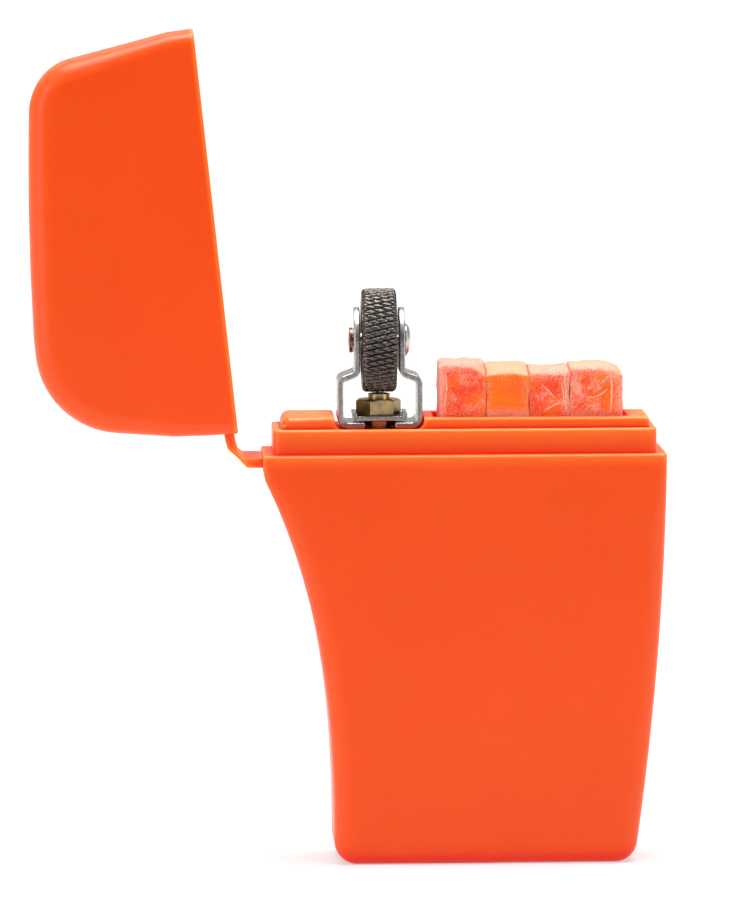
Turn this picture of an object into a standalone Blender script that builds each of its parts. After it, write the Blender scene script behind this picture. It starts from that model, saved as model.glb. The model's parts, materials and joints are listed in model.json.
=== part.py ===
"""A flip-top emergency lighter: a spark wheel on a steel bracket beside a well of waxed tinder sticks.

The origin lies on the flat bottom of the case at mid depth, with +Z up. The living hinge of the lid is at
the -X end and the tinder well at the +X end. The lid stands open, a little past upright.
Lengths are in millimetres, angles in degrees, and MM turns a finished mesh into metres.
"""

import math

import bmesh
import bpy
from mathutils import Matrix, Vector

MM = 0.001
GAP = 0.15  # between pieces that sit on or beside each other
OVERCUT = 4.0  # how far a cutter or a stretch to be cut away runs past the surface
ARC_STEP = 15.0  # largest turn between two points of a rounded corner
SMOOTH_BELOW = 35.0  # edges that turn less than this are shaded smooth

# outer case
CASE_HALF_DEPTH = 9.25
RIM_Z = 57.1
RIM_LEFT = -31.1
RIM_RIGHT = 24.99
FOOT_LEFT = -21.46
FLARE = 9.45  # how far the left side has spread at FLARE_Z
FLARE_Z = 53.8
FLARE_POWER = 2.7
RIGHT_LEAN = 0.012
RIGHT_BOW = 829.0  # the right side also curves in by drop squared over this
FOOT_CORNER = 3.2
FOOT_FILLET = 1.8
SIDE_FILLET = 2.5
NECK_LEFT = -29.65
NECK_RIGHT = 23.63
NECK_HALF_DEPTH = 7.95
NECK_TOP_Z = 60.6
NECK_WALL = 1.0
NECK_CORNER = 1.6
POCKET_CORNER = 0.3
SHELF_Z = 55.9
CAVITY_HALF_DEPTH = 6.45
CAVITY_WALL = 2.9
CAVITY_FLOOR_Z = 2.3

# living hinge and lid, with the lid drawn closed and measured from the hinge axis
HINGE_X = -34.08
HINGE_Z = 57.21
HINGE_HALF_WIDTH = 6.45
LID_OPEN_ANGLE = 96.0
# sections of the moulded hinge, as (x, z) from its axis: the case's leg, the leg of the closed lid, and the film
# that joins them while the lid is open
CASE_LEG = ((0.45, -0.58), (0.45, -1.53), (0.88, -2.01), (3.6, -2.01), (3.6, -0.58))
LID_LEG = ((-0.1, 1.0), (-0.1, 0.15), (3.3, 0.85), (3.3, 2.05), (0.82, 1.7))
HINGE_FILM = ((0.3, -0.585), (0.1, -0.585), (-0.05, -0.25), (-0.85, -0.33), (0.3, -1.4))
LID_MOUTH = 0.1
LID_START = 2.63
LID_HALF_DEPTH = 9.25
LID_FILLET = 3.0
LID_WALL = 1.1
LID_HINGE_WALL = 1.0
LID_HINGE_REACH = 1.5  # the wall has its hinge thickness up to here
LID_FREE_WALL = 0.85
LID_FREE_REACH = 55.0  # and its free side thickness from here
LID_FACE_WALL = 1.05

# insert that closes the case and holds the tinder
DECK_LEFT_TOP_Z = 62.32
DECK_RIGHT_TOP_Z = 62.12
DECK_LEFT = -28.5
DECK_RIGHT = 22.34
DECK_HALF_DEPTH = 6.8
SLOT_LEFT = -21.1
SLOT_RIGHT = -8.7
SLOT_FLOOR_Z = 60.3
WELL_LEFT = -7.3
WELL_RIGHT = 19.7
WELL_HALF_DEPTH = 5.3
WELL_WALL = 0.8
WELL_FLOOR_Z = 29.2

# striker on its bracket
STRIKER_X = -14.75
AXLE_Z = 72.5
WHEEL_RADIUS = 7.3
WHEEL_HALF_WIDTH = 2.4
WHEEL_EDGE = 0.67
WHEEL_TEETH = 48
TOOTH_DEPTH = 0.3
TOOTH_TWIST = 9.0  # how far a tooth turns round the wheel over its width
WHEEL_BORE = 1.15
STRAP = 0.85
BRACKET_HALF_WIDTH = 4.6
ARM_X = 3.125
LEG_X = 5.5
SHOULDER_TOP_Z = 68.05
SHOULDER_LOW_Z = 67.2
BASE_Z = 60.875
BEND = 0.8
FOOT_BEND = 1.1
NOTCH = 2.1
BUSH_OUTER = 1.08
BUSH_INNER = 0.86
SHANK = 0.8
ARM_HOLE = 0.9
HEAD_RADIUS = 2.28
HEAD_HEIGHT = 0.84
CLINCH_RADIUS = 1.78
CLINCH_HEIGHT = 0.63

# flint tube and what it holds
TUBE_RADIUS = 1.52
TUBE_BORE = 1.2
TUBE_TOP_Z = 64.85
TUBE_END_Z = 36.4
COLLAR_RADIUS = 3.0
COLLAR_HEIGHT = 1.9
TUBE_HOLE = 1.65
WASHER_HALF_LENGTH = 3.83
WASHER_HALF_WIDTH = 3.8
WASHER_Z = 61.45
WASHER_TOP_Z = 62.1
TAB = 0.7
TAB_TOP_Z = 62.6
NUT_Z = 62.25
NUT_TOP_Z = 64.25
NUT_ACROSS_FLATS = 5.4
NUT_TURN = -19.5  # of a corner from the front, clockwise seen from above
FLINT_RADIUS = 1.12
FLINT_LENGTH = 5.0
FLINT_TOP_Z = AXLE_Z - WHEEL_RADIUS - 0.05
TIP_RADIUS = 1.1
TIP_LENGTH = 2.0
TIP_STEM = 0.5
TIP_STEM_LENGTH = 1.4
WIRE_RADIUS = 0.17
COIL_RADIUS = 0.88
COIL_TURNS = 10
SCREW_HEAD_RADIUS = 1.9
SCREW_HEAD_HEIGHT = 1.2
SCREW_SHANK_LENGTH = 2.4

# tinder sticks
STICKS = (  # left side, right side and top of each, left to right
    (-6.55, -0.1, 69.45),
    (0.1, 5.85, 68.95),
    (6.05, 11.45, 68.3),
    (11.65, 19.0, 68.95),
)
STICK_HALF_DEPTH = 5.0
STICK_CORNER = 1.3
STICK_FOOT_Z = 29.6
STICK_TOP_ROUND = 1.2

# material: colour, metallic, roughness
MATERIALS = {
    "orange_abs": ((0.86, 0.105, 0.022), 0.0, 0.38),
    "waxed_fibre": ((0.95, 0.26, 0.06), 0.0, 0.5),
    "tool_steel": ((0.12, 0.105, 0.09), 1.0, 0.45),
    "bright_steel": ((0.78, 0.77, 0.75), 1.0, 0.2),
    "zinc_steel": ((0.6, 0.6, 0.58), 1.0, 0.3),
    "brass": ((0.72, 0.48, 0.24), 1.0, 0.28),
    "spring_steel": ((0.6, 0.6, 0.62), 1.0, 0.3),
    "flint_alloy": ((0.2, 0.19, 0.18), 0.6, 0.6),
}


# ---- plane outlines -------------------------------------------------------------------------------------


def rounded(corners):
    """Turns (x, z, radius) corners of a closed outline into points, with an arc at each corner's radius."""
    points = []
    for index, (x, z, radius) in enumerate(corners):
        corner = Vector((x, z))
        if radius == 0.0:
            points.append(corner)
            continue
        before = (Vector(corners[index - 1][:2]) - corner).normalized()
        after = (Vector(corners[(index + 1) % len(corners)][:2]) - corner).normalized()
        half_angle = before.angle(after) / 2.0
        centre = corner + (before + after).normalized() * (radius / math.sin(half_angle))
        start = corner + before * (radius / math.tan(half_angle)) - centre
        turn = math.pi - 2.0 * half_angle
        if before.x * after.y - before.y * after.x > 0.0:
            turn = -turn
        steps = math.ceil(math.degrees(abs(turn)) / ARC_STEP)
        for step in range(steps + 1):
            points.append(centre + Matrix.Rotation(turn * step / steps, 2) @ start)
    return points


def inset(points, distances):
    """Moves each point of an anticlockwise outline inwards by its own distance."""
    moved = []
    for index, point in enumerate(points):
        run = points[(index + 1) % len(points)] - points[index - 1]
        inward = Vector((-run.y, run.x)).normalized()
        moved.append(point + inward * distances[index])
    return moved


def circle(radius, sides, turn=0.0):
    """Points of a regular polygon whose first corner is at the given angle from +X."""
    angles = [math.radians(turn) + 2.0 * math.pi * side / sides for side in range(sides)]
    return [Vector((radius * math.cos(angle), radius * math.sin(angle))) for angle in angles]


def ribbon(corners, thickness):
    """Outline of a bent strip whose open centre line runs through (x, z, radius) corners."""
    line = []
    for index, (x, z, radius) in enumerate(corners):
        if radius == 0.0:
            line.append(Vector((x, z)))
            continue
        triple = [corners[index - 1][:2] + (0.0,), corners[index], corners[index + 1][:2] + (0.0,)]
        line += rounded(triple)[1:-1]
    sides = ([], [])
    for index, point in enumerate(line):
        run = line[min(index + 1, len(line) - 1)] - line[max(index - 1, 0)]
        across = Vector((-run.y, run.x)).normalized() * (thickness / 2.0)
        sides[0].append(point + across)
        sides[1].append(point - across)
    return sides[0] + sides[1][::-1]


# ---- solids ---------------------------------------------------------------------------------------------


def loft(rings):
    """Closed body through rings of equal length, with a face over each end."""
    shape = bmesh.new()
    rows = [[shape.verts.new(point) for point in ring] for ring in rings]
    count = len(rows[0])
    for low, high in zip(rows, rows[1:]):
        for index in range(count):
            after = (index + 1) % count
            shape.faces.new((low[index], low[after], high[after], high[index]))
    shape.faces.new(rows[0][::-1])
    shape.faces.new(rows[-1])
    bmesh.ops.recalc_face_normals(shape, faces=shape.faces)
    return shape


def prism_y(outline, half_depth):
    """Extrudes an XZ outline from -half_depth to +half_depth along Y."""
    return loft([[(p.x, y, p.y) for p in outline] for y in (-half_depth, half_depth)])


def prism_z(outline, low, high):
    """Extrudes an XY outline from low to high along Z."""
    return loft([[(p.x, p.y, z) for p in outline] for z in (low, high)])


def prism_x(outline, low, high):
    """Extrudes a YZ outline from low to high along X."""
    return loft([[(x, p.x, p.y) for p in outline] for x in (low, high)])


def pillow(outline, half_depth, fillets, steps=5):
    """Extrudes an anticlockwise XZ outline along Y, rounding the front and back edges by each point's fillet."""
    rings = []
    angles = [math.pi / 2.0 * step / steps for step in range(steps + 1)]
    for side, sweep in ((-1.0, angles[::-1]), (1.0, angles)):
        for angle in sweep:
            edge = inset(outline, [fillet * (1.0 - math.cos(angle)) for fillet in fillets])
            reach = [half_depth - fillet * (1.0 - math.sin(angle)) for fillet in fillets]
            rings.append([(p.x, side * y, p.y) for p, y in zip(edge, reach)])
    return loft(rings)


def rounded_box(left, right, half_depth, corner, low, high):
    """Upright block with rounded vertical edges."""
    corners = [
        (left, -half_depth, corner),
        (right, -half_depth, corner),
        (right, half_depth, corner),
        (left, half_depth, corner),
    ]
    return prism_z(rounded(corners), low, high)


def turned(profile, sides=24):
    """Revolves a (radius, height) profile about Z. It is closed by its own ends or, at radius 0, on the axis."""
    shape = bmesh.new()
    spokes = circle(1.0, sides)
    rows = []
    for radius, height in profile:
        if radius == 0.0:
            rows.append([shape.verts.new((0.0, 0.0, height))] * sides)
        else:
            rows.append([shape.verts.new((radius * s.x, radius * s.y, height)) for s in spokes])
    hollow = profile[0][0] > 0.0
    pairs = list(zip(rows, rows[1:]))
    if hollow:
        pairs.append((rows[-1], rows[0]))
    for low, high in pairs:
        for index in range(sides):
            after = (index + 1) % sides
            corners = [low[index], low[after], high[after], high[index]]
            shape.faces.new(list(dict.fromkeys(corners)))
    bmesh.ops.recalc_face_normals(shape, faces=shape.faces)
    return shape


def cut_above(shape, height):
    """Removes what lies above a level and closes the cut."""
    geometry = shape.verts[:] + shape.edges[:] + shape.faces[:]
    up = Vector((0.0, 0.0, 1.0))
    cut = bmesh.ops.bisect_plane(
        shape, geom=geometry, plane_co=up * height, plane_no=up, clear_outer=True
    )
    rim = [item for item in cut["geom_cut"] if isinstance(item, bmesh.types.BMEdge)]
    bmesh.ops.edgeloop_fill(shape, edges=rim)
    bmesh.ops.recalc_face_normals(shape, faces=shape.faces)


# ---- objects --------------------------------------------------------------------------------------------


def object_from(shape, name):
    mesh = bpy.data.meshes.new(name)
    shape.to_mesh(mesh)
    shape.free()
    item = bpy.data.objects.new(name, mesh)
    bpy.context.scene.collection.objects.link(item)
    return item


def combined(base, steps):
    """Evaluates Boolean steps, each an operation and a shape, on a base shape."""
    item = object_from(base, "base")
    tools = []
    for operation, shape in steps:
        tool = object_from(shape, "tool")
        modifier = item.modifiers.new(operation, "BOOLEAN")
        modifier.operation = operation
        modifier.solver = "EXACT"
        modifier.object = tool
        tools.append(tool)
    graph = bpy.context.evaluated_depsgraph_get()
    result = bmesh.new()
    result.from_mesh(item.evaluated_get(graph).to_mesh())
    for used in [item] + tools:
        bpy.data.objects.remove(used)
    return result


def material(name):
    found = bpy.data.materials.get(name)
    if found:
        return found
    colour, metallic, roughness = MATERIALS[name]
    made = bpy.data.materials.new(name)
    made.use_nodes = True
    shader = made.node_tree.nodes["Principled BSDF"]
    shader.inputs["Base Color"].default_value = colour + (1.0,)
    shader.inputs["Metallic"].default_value = metallic
    shader.inputs["Roughness"].default_value = roughness
    made.diffuse_color = colour + (1.0,)
    return made


def add_part(name, shape, slot, at=(0.0, 0.0, 0.0), turn=None):
    """Makes the named object in metres, with its origin at a place and its mesh turned about that origin."""
    part = object_from(shape, name)
    part.data.transform(Matrix.Scale(MM, 4))
    part.data.shade_smooth()
    part.data.set_sharp_from_angle(angle=math.radians(SMOOTH_BELOW))
    part.data.materials.append(material(slot))
    part.location = Vector(at) * MM
    if turn:
        part.rotation_euler = [math.radians(angle) for angle in turn]
    return part


# ---- case, hinge and lid --------------------------------------------------------------------------------


def case_left(z):
    return max(RIM_LEFT, FOOT_LEFT - FLARE * (z / FLARE_Z) ** FLARE_POWER)


def case_right(z):
    drop = RIM_Z - z
    return RIM_RIGHT - RIGHT_LEAN * drop - drop**2 / RIGHT_BOW


def case_outline(wall, low, high, corner):
    """Anticlockwise XZ outline of the case, a wall's thickness in from its sides, between two levels."""
    levels = [low + (high - low) * step / 14.0 for step in range(1, 15)]
    up_right = [(case_right(z) - wall, z, 0.0) for z in levels]
    down_left = [(case_left(z) + wall, z, 0.0) for z in reversed(levels)]
    foot = [(case_left(low) + wall, low, corner), (case_right(low) - wall, low, corner)]
    return rounded(foot + up_right + down_left)


def make_case():
    outline = case_outline(0.0, 0.0, RIM_Z + OVERCUT, FOOT_CORNER)
    fillets = []
    for point in outline:
        share = min(max(point.y / FOOT_CORNER, 0.0), 1.0)
        fillets.append(FOOT_FILLET + (SIDE_FILLET - FOOT_FILLET) * share)
    body = pillow(outline, CASE_HALF_DEPTH, fillets)
    cut_above(body, RIM_Z)
    neck = rounded_box(
        NECK_LEFT, NECK_RIGHT, NECK_HALF_DEPTH, NECK_CORNER, RIM_Z - 1.0, NECK_TOP_Z
    )
    leg_outline = [Vector((HINGE_X + x, HINGE_Z + z)) for x, z in CASE_LEG]
    pocket = rounded_box(
        NECK_LEFT + NECK_WALL,
        NECK_RIGHT - NECK_WALL,
        NECK_HALF_DEPTH - NECK_WALL,
        POCKET_CORNER,
        SHELF_Z,
        NECK_TOP_Z + OVERCUT,
    )
    hollow = case_outline(CAVITY_WALL, CAVITY_FLOOR_Z, SHELF_Z + 1.0, 1.5)
    shape = combined(
        body,
        [
            ("UNION", neck),
            ("UNION", prism_y(leg_outline, HINGE_HALF_WIDTH)),
            ("DIFFERENCE", pocket),
            ("DIFFERENCE", prism_y(hollow, CAVITY_HALF_DEPTH)),
        ],
    )
    add_part("outer_case", shape, "orange_abs")


def lid_outline(reach):
    """Anticlockwise XZ outline of the closed lid from its free side round to its hinge, open reach below the mouth."""
    free_side = [(56.35, -reach, 0.0), (56.35, 0.0, 0.0), (56.2, 3.8, 0.0), (55.35, 8.9, 0.0)]
    free_corner = [(54.1, 17.0, 0.0), (53.1, 23.15, 7.5)]
    crown = [(42.0, 24.5, 0.0), (33.7, 25.4, 0.0), (25.3, 26.1, 0.0), (16.5, 26.65, 0.0)]
    hinge_corner = [(3.9, 26.75, 12.0), (1.85, 15.0, 0.0)]
    hinge_side = [(0.8, 9.0, 0.0), (0.4, 4.0, 0.0), (0.22, 0.0, 0.0), (0.22, -reach, 0.0)]
    return rounded(free_side + free_corner + crown + hinge_corner + hinge_side)


def lid_wall(distance):
    """Wall thickness at a distance from the hinge side of the lid."""
    if distance < LID_HINGE_REACH:
        return LID_HINGE_WALL
    return LID_FREE_WALL if distance > LID_FREE_REACH else LID_WALL


def lid_shape():
    """The lid closed, with the hinge axis at the origin."""
    outline = lid_outline(OVERCUT)
    at_hinge = Vector((LID_START, LID_MOUTH))
    outer = [point + at_hinge for point in outline]
    body = pillow(outer, LID_HALF_DEPTH, [LID_FILLET] * len(outer))
    inner = inset(outer, [lid_wall(point.x) for point in outline])
    room = pillow(inner, LID_HALF_DEPTH - LID_FACE_WALL, [LID_FILLET - LID_FACE_WALL] * len(inner), 4)
    below_mouth = rounded_box(-OVERCUT, 70.0, 2.0 * LID_HALF_DEPTH, 1.0, -3.0 * OVERCUT, LID_MOUTH)
    leg_outline = [Vector(point) for point in LID_LEG]
    return combined(
        body,
        [
            ("DIFFERENCE", below_mouth),
            ("DIFFERENCE", room),
            ("UNION", prism_y(leg_outline, HINGE_HALF_WIDTH)),
        ],
    )


def make_lid():
    axis = (HINGE_X, 0.0, HINGE_Z)
    add_part("lid_shell", lid_shape(), "orange_abs", axis, (0.0, -LID_OPEN_ANGLE, 0.0))


def make_hinge_film():
    """The thin strip that bends, seen from the side in the gap between the two legs of the open hinge."""
    strip = prism_y([Vector(point) for point in HINGE_FILM], HINGE_HALF_WIDTH)
    add_part("hinge_film", strip, "orange_abs", (HINGE_X, 0.0, HINGE_Z))


# ---- insert and tinder ----------------------------------------------------------------------------------


def make_insert():
    low = SHELF_Z + GAP
    section = [
        (DECK_LEFT, low, 0.0),
        (DECK_RIGHT, low, 0.0),
        (DECK_RIGHT, DECK_RIGHT_TOP_Z, 0.4),
        (SLOT_RIGHT, DECK_RIGHT_TOP_Z, 0.0),
        (SLOT_RIGHT, SLOT_FLOOR_Z, 1.4),
        (SLOT_LEFT, SLOT_FLOOR_Z, 1.4),
        (SLOT_LEFT, DECK_LEFT_TOP_Z, 0.0),
        (DECK_LEFT, DECK_LEFT_TOP_Z, 1.0),
    ]
    well = rounded_box(
        WELL_LEFT - WELL_WALL,
        WELL_RIGHT + WELL_WALL,
        WELL_HALF_DEPTH + WELL_WALL,
        1.2,
        WELL_FLOOR_Z - WELL_WALL,
        low + 1.0,
    )
    opening = rounded_box(
        WELL_LEFT, WELL_RIGHT, WELL_HALF_DEPTH, 0.6, WELL_FLOOR_Z, DECK_LEFT_TOP_Z + OVERCUT
    )
    tube_hole = prism_z(circle(TUBE_HOLE, 24), low - OVERCUT, DECK_LEFT_TOP_Z)
    bmesh.ops.translate(tube_hole, verts=tube_hole.verts, vec=(STRIKER_X, 0.0, 0.0))
    shape = combined(
        prism_y(rounded(section), DECK_HALF_DEPTH),
        [("UNION", well), ("DIFFERENCE", opening), ("DIFFERENCE", tube_hole)],
    )
    add_part("insert_deck", shape, "orange_abs")


def make_stick(number, left, right, top):
    """A pressed bar of waxed fibre with soft edges, standing in the well."""
    half = (right - left) / 2.0
    levels = [(STICK_FOOT_Z, 0.5), (STICK_FOOT_Z + 0.5, 0.0)]
    for angle in (0.0, 22.5, 45.0, 67.5, 90.0):
        turn = math.radians(angle)
        drop = STICK_TOP_ROUND * (1.0 - math.sin(turn))
        levels.append((top - drop, STICK_TOP_ROUND * (1.0 - math.cos(turn))))
    rings = []
    for z, draw in levels:
        side = half - draw
        depth = STICK_HALF_DEPTH - draw
        corner = max(STICK_CORNER - draw, 0.2)
        corners = [
            (-side, -depth, corner),
            (side, -depth, corner),
            (side, depth, corner),
            (-side, depth, corner),
        ]
        rings.append([(p.x, p.y, z) for p in rounded(corners)])
    middle = (left + right) / 2.0
    add_part(f"tinder_stick_{number}", loft(rings), "waxed_fibre", (middle, 0.0, 0.0))


# ---- striker --------------------------------------------------------------------------------------------


def make_bracket():
    """A steel strap bent into a stepped U, with round arm ends, axle holes and a notch for the flint tube."""
    right = [
        (0.0, BASE_Z, 0.0),
        (LEG_X, BASE_Z, FOOT_BEND),
        (LEG_X, SHOULDER_LOW_Z, BEND),
        (ARM_X, SHOULDER_TOP_Z, BEND),
        (ARM_X, AXLE_Z + BRACKET_HALF_WIDTH, 0.0),
    ]
    left = [(-x, z, radius) for x, z, radius in reversed(right)]
    strap = prism_y(ribbon(left[:-1] + right[1:], STRAP), BRACKET_HALF_WIDTH + 1.0)
    round_end = [p + Vector((0.0, AXLE_Z)) for p in circle(BRACKET_HALF_WIDTH, 48)[:25]]
    foot_z = BASE_Z - OVERCUT
    face = round_end + [
        Vector((-BRACKET_HALF_WIDTH, foot_z)),
        Vector((BRACKET_HALF_WIDTH, foot_z)),
    ]
    hole = [p + Vector((0.0, AXLE_Z)) for p in circle(ARM_HOLE, 24)]
    notch = circle(NOTCH, 24)[:13] + [
        Vector((-NOTCH, -BRACKET_HALF_WIDTH - OVERCUT)),
        Vector((NOTCH, -BRACKET_HALF_WIDTH - OVERCUT)),
    ]
    shape = combined(
        strap,
        [
            ("INTERSECT", prism_x(face, -LEG_X - OVERCUT, LEG_X + OVERCUT)),
            ("DIFFERENCE", prism_x(hole, -LEG_X - OVERCUT, LEG_X + OVERCUT)),
            ("DIFFERENCE", prism_z(notch, BASE_Z - STRAP, BASE_Z + STRAP)),
        ],
    )
    add_part("wheel_bracket", shape, "bright_steel", (STRIKER_X, 0.0, 0.0))


def make_wheel():
    """Hardened wheel with slanting teeth, its axis along X and its origin at its centre."""
    levels = [
        (-WHEEL_HALF_WIDTH, WHEEL_EDGE),
        (WHEEL_EDGE - WHEEL_HALF_WIDTH, 0.0),
        (WHEEL_HALF_WIDTH - WHEEL_EDGE, 0.0),
        (WHEEL_HALF_WIDTH, WHEEL_EDGE),
    ]
    count = 2 * WHEEL_TEETH
    rings = []
    for x, drop in levels:
        twist = math.radians(TOOTH_TWIST) * x / (2.0 * WHEEL_HALF_WIDTH)
        ring = []
        for index in range(count):
            angle = 2.0 * math.pi * index / count + twist
            radius = WHEEL_RADIUS - drop - TOOTH_DEPTH * (index % 2)
            ring.append((x, radius * math.cos(angle), radius * math.sin(angle)))
        rings.append(ring)
    reach = WHEEL_HALF_WIDTH + 1.0
    bore = prism_x(circle(WHEEL_BORE, 32), -reach, reach)
    shape = combined(loft(rings), [("DIFFERENCE", bore)])
    add_part("spark_wheel", shape, "tool_steel", (STRIKER_X, 0.0, AXLE_Z))


def make_wheel_bush():
    half = ARM_X - STRAP / 2.0 - GAP
    profile = [(BUSH_INNER, -half), (BUSH_OUTER, -half), (BUSH_OUTER, half), (BUSH_INNER, half)]
    add_part(
        "wheel_bush",
        turned(profile, 32),
        "bright_steel",
        (STRIKER_X, 0.0, AXLE_Z),
        (0.0, 90.0, 0.0),
    )


def make_axle_rivet():
    """Shank with a domed head at +X and a clinched end at -X."""
    seat = ARM_X + STRAP / 2.0 + 0.1
    profile = [(0.0, -seat - CLINCH_HEIGHT)]
    profile += [(CLINCH_RADIUS * 0.55, -seat - CLINCH_HEIGHT), (CLINCH_RADIUS, -seat - 0.15)]
    profile += [(CLINCH_RADIUS, -seat), (SHANK, -seat), (SHANK, seat), (HEAD_RADIUS, seat)]
    for angle in (15.0, 35.0, 55.0, 75.0):
        turn = math.radians(angle)
        profile.append((HEAD_RADIUS * math.cos(turn), seat + HEAD_HEIGHT * math.sin(turn)))
    profile.append((0.0, seat + HEAD_HEIGHT))
    add_part(
        "axle_rivet",
        turned(profile, 32),
        "bright_steel",
        (STRIKER_X, 0.0, AXLE_Z),
        (0.0, 90.0, 0.0),
    )


# ---- flint column ---------------------------------------------------------------------------------------


def make_washer():
    half = WASHER_HALF_LENGTH
    section = [
        (-half, WASHER_Z),
        (half, WASHER_Z),
        (half, TAB_TOP_Z),
        (half - TAB, TAB_TOP_Z),
        (half - TAB, WASHER_TOP_Z),
        (TAB - half, WASHER_TOP_Z),
        (TAB - half, TAB_TOP_Z),
        (-half, TAB_TOP_Z),
    ]
    plate = prism_y([Vector(point) for point in section], WASHER_HALF_WIDTH)
    hole = prism_z(circle(TUBE_HOLE, 24), WASHER_Z - 1.0, WASHER_TOP_Z + 1.0)
    shape = combined(plate, [("DIFFERENCE", hole)])
    add_part("tab_washer", shape, "zinc_steel", (STRIKER_X, 0.0, 0.0))


def make_nut():
    corner = NUT_ACROSS_FLATS / math.sqrt(3.0)
    hexagon = circle(corner, 6, -90.0 + NUT_TURN)
    cone = turned(
        [(0.0, NUT_Z - 1.0), (corner + 1.0, NUT_Z - 1.0), (corner + 1.0, NUT_TOP_Z - 0.9)]
        + [(corner - 0.45, NUT_TOP_Z), (0.0, NUT_TOP_Z)],
        48,
    )
    hole = prism_z(circle(TUBE_HOLE, 24), NUT_Z - 1.0, NUT_TOP_Z + 1.0)
    shape = combined(
        prism_z(hexagon, NUT_Z, NUT_TOP_Z + 0.3), [("INTERSECT", cone), ("DIFFERENCE", hole)]
    )
    add_part("tube_nut", shape, "brass", (STRIKER_X, 0.0, 0.0))


def make_flint_tube():
    collar_top = SHELF_Z
    profile = [
        (TUBE_BORE, TUBE_END_Z),
        (TUBE_RADIUS, TUBE_END_Z),
        (TUBE_RADIUS, collar_top - COLLAR_HEIGHT),
        (COLLAR_RADIUS, collar_top - COLLAR_HEIGHT),
        (COLLAR_RADIUS, collar_top),
        (TUBE_RADIUS, collar_top),
        (TUBE_RADIUS, TUBE_TOP_Z),
        (TUBE_BORE, TUBE_TOP_Z),
    ]
    add_part("flint_tube", turned(profile, 28), "brass", (STRIKER_X, 0.0, 0.0))


def make_flint_stack():
    """From the top: the flint, the tip that pushes it, the spring and the screw that closes the tube."""
    place = (STRIKER_X, 0.0, 0.0)
    flint_end = FLINT_TOP_Z - FLINT_LENGTH
    flint = [(0.0, flint_end), (FLINT_RADIUS, flint_end)]
    flint += [(FLINT_RADIUS, FLINT_TOP_Z - 0.1), (FLINT_RADIUS - 0.1, FLINT_TOP_Z), (0.0, FLINT_TOP_Z)]
    add_part("flint", turned(flint, 20), "flint_alloy", place)

    tip_top = flint_end - GAP
    tip_end = tip_top - TIP_LENGTH
    tip = [(0.0, tip_end - TIP_STEM_LENGTH), (TIP_STEM, tip_end - TIP_STEM_LENGTH)]
    tip += [(TIP_STEM, tip_end), (TIP_RADIUS, tip_end), (TIP_RADIUS, tip_top), (0.0, tip_top)]
    add_part("spring_tip", turned(tip, 20), "brass", place)

    shank_end = TUBE_END_Z + SCREW_SHANK_LENGTH
    make_spring(shank_end + GAP + WIRE_RADIUS, tip_end - GAP - WIRE_RADIUS)

    head_top = TUBE_END_Z - GAP
    head_end = head_top - SCREW_HEAD_HEIGHT
    screw = [(0.0, head_end), (SCREW_HEAD_RADIUS - 0.3, head_end), (SCREW_HEAD_RADIUS, head_end + 0.3)]
    screw += [(SCREW_HEAD_RADIUS, head_top), (FLINT_RADIUS, head_top), (FLINT_RADIUS, shank_end)]
    screw += [(0.0, shank_end)]
    driver_slot = [(-0.3, -1.0, 0.0), (0.3, -1.0, 0.0), (0.3, 0.5, 0.0), (-0.3, 0.5, 0.0)]
    slot = prism_y([p + Vector((0.0, head_end)) for p in rounded(driver_slot)], OVERCUT)
    shape = combined(turned(screw, 24), [("DIFFERENCE", slot)])
    add_part("flint_screw", shape, "brass", place)


def make_spring(low, high):
    """Compression spring as a tube of six sides swept along a helix, with its end turns laid close."""
    steps = 12 * COIL_TURNS
    rings = []
    for step in range(steps + 1):
        share = step / steps
        angle = 2.0 * math.pi * COIL_TURNS * share
        eased = share - 0.06 * math.sin(4.0 * math.pi * share) / 2.0
        centre = Vector((COIL_RADIUS * math.cos(angle), COIL_RADIUS * math.sin(angle), 0.0))
        centre.z = low + (high - low) * eased
        outward = Vector((math.cos(angle), math.sin(angle), 0.0))
        section = circle(WIRE_RADIUS, 6)
        rings.append([centre + outward * p.x + Vector((0.0, 0.0, p.y)) for p in section])
    add_part("flint_spring", loft(rings), "spring_steel", (STRIKER_X, 0.0, 0.0))


def clear_scene():
    for item in list(bpy.data.objects):
        bpy.data.objects.remove(item)


def main():
    clear_scene()
    make_case()
    make_lid()
    make_hinge_film()
    make_insert()
    for number, (left, right, top) in enumerate(STICKS, start=1):
        make_stick(number, left, right, top)
    make_bracket()
    make_wheel()
    make_wheel_bush()
    make_axle_rivet()
    make_washer()
    make_nut()
    make_flint_tube()
    make_flint_stack()


main()
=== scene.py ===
"""Looks for the flip-top emergency lighter: moulded shells, a knurled spark wheel and waxed tinder sticks.

Shapes are drawn in millimetres in the frame's own axes and turned into metres by MM. Places come from the
frame: each piece is drawn between the corners of the CAD node that it stands for.
"""

import json
import math
import bmesh
import bpy
from mathutils import Matrix, Quaternion, Vector, noise


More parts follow.
